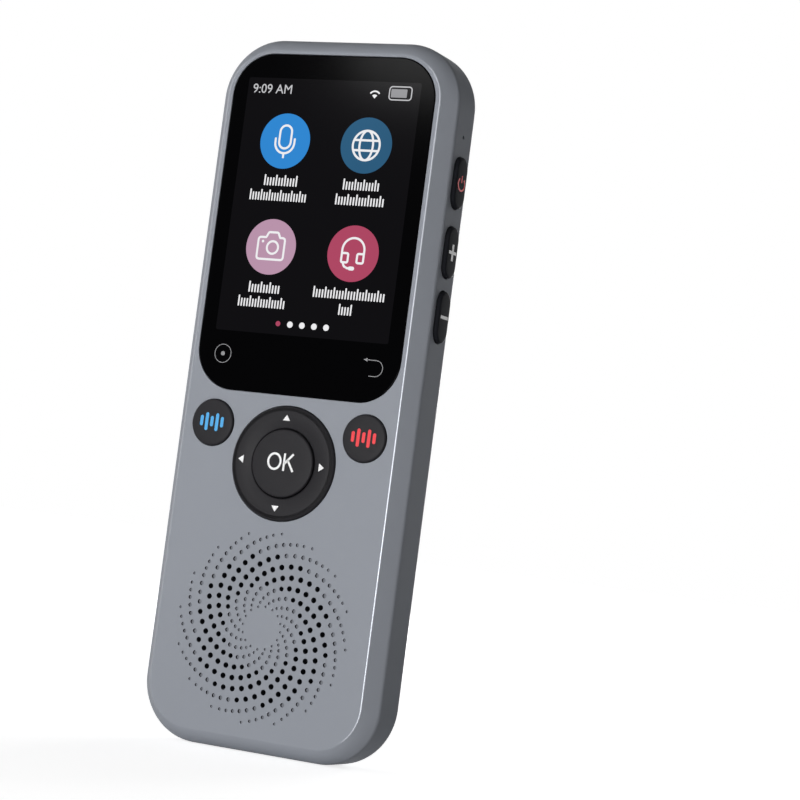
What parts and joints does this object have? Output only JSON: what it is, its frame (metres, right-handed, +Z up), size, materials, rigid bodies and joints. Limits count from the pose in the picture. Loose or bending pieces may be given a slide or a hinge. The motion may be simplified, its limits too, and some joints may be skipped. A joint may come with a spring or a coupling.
{
  "type": "handheld translator",
  "caption": "Slim bar-shaped handheld translator with a touch display, a four-way ring key, round voice keys, a spiral speaker grille, side keys, a card tray and a rear camera.",
  "frame": {"origin": "under the middle of the bar, at the lowest point of its bottom end, half-way through its thickness", "axes": "+Z up the bar's length, the display faces -Y, and +X is the side with the power and volume keys"},
  "size_m": [0.0508, 0.0158, 0.1355],
  "materials": {
    "shell_grey": "satin metallic grey paint",
    "key_black": "fine matte black",
    "glass_black": "polished, printed black from behind",
    "display_dark": "dark display panel",
    "steel": "plain stamped steel",
    "black_metal": "spun, black anodised",
    "lens_glass": "coated lens",
    "board_green": "solder mask",
    "silicone": "matte silicone",
    "battery_silver": "foil pouch",
    "magnet_nickel": "nickel plated",
    "cloth_black": "fine woven mesh",
    "flex_amber": "flexible film"
  },
  "bodies": {
    "bar": {"front_housing": "shell_grey", "rear_cover": "shell_grey", "cover_glass": "glass_black", "lcd_panel": "display_dark", "display_frame": "steel", "key_mat": "silicone", "dome_up": "steel", "dome_down": "steel", "dome_left": "steel", "dome_right": "steel", "dome_ok": "steel", "dome_voice_left": "steel", "dome_voice_right": "steel", "main_board": "board_green", "board_screw_1": "steel", "board_screw_2": "steel", "board_screw_3": "steel", "board_screw_4": "steel", "shield_can": "steel", "power_switch": "steel", "volume_up_switch": "steel", "volume_down_switch": "steel", "side_key_board": "board_green", "microphone": "steel", "card_socket": "steel", "battery": "battery_silver", "wifi_antenna": "flex_amber", "speaker_mesh": "cloth_black", "speaker_gasket": "silicone", "speaker_basket": "black_metal", "speaker_cone": "cloth_black", "speaker_magnet": "magnet_nickel", "camera_ring": "black_metal", "camera_module": "black_metal", "camera_barrel": "key_black", "camera_lens": "lens_glass", "usb_c_port": "steel", "usb_board": "board_green"},
    "rocker": {"dpad_rocker": "key_black"},
    "ring": {"dpad_ring": "key_black"},
    "middle_key": {"ok_button": "key_black"},
    "left_voice_key": {"voice_key_left": "key_black"},
    "right_voice_key": {"voice_key_right": "key_black"},
    "power_key": {"power_button": "key_black"},
    "volume_up_key": {"volume_up_button": "key_black"},
    "volume_down_key": {"volume_down_button": "key_black"},
    "tray": {"card_tray": "shell_grey"}
  },
  "joints": [
    {"name": "ring_up_down", "type": "hinge", "parent": "bar", "child": "rocker", "pos_m": [0, -0.0043, 0.05427], "axis": [1, 0, 0], "range_deg": [-1.3, 1.3], "stiffness_Nm_per_rad": 0.4},
    {"name": "ring_left_right", "type": "hinge", "parent": "rocker", "child": "ring", "pos_m": [0, -0.0043, 0.05427], "axis": [0, 0, 1], "range_deg": [-1.3, 1.3], "stiffness_Nm_per_rad": 0.4},
    {"name": "middle_press", "type": "slide", "parent": "bar", "child": "middle_key", "axis": [0, 1, 0], "range_m": [0, 0.0003], "stiffness_N_per_m": 3000},
    {"name": "left_voice_press", "type": "slide", "parent": "bar", "child": "left_voice_key", "axis": [0, 1, 0], "range_m": [0, 0.0003], "stiffness_N_per_m": 3000},
    {"name": "right_voice_press", "type": "slide", "parent": "bar", "child": "right_voice_key", "axis": [0, 1, 0], "range_m": [0, 0.0003], "stiffness_N_per_m": 3000},
    {"name": "power_press", "type": "slide", "parent": "bar", "child": "power_key", "axis": [-1, 0, 0], "range_m": [0, 0.00025], "stiffness_N_per_m": 3000},
    {"name": "volume_up_press", "type": "slide", "parent": "bar", "child": "volume_up_key", "axis": [-1, 0, 0], "range_m": [0, 0.00025], "stiffness_N_per_m": 3000},
    {"name": "volume_down_press", "type": "slide", "parent": "bar", "child": "volume_down_key", "axis": [-1, 0, 0], "range_m": [0, 0.00025], "stiffness_N_per_m": 3000},
    {"name": "tray_slide", "type": "slide", "parent": "bar", "child": "tray", "axis": [-1, 0, 0], "range_m": [0, 0.012]}
  ]
}
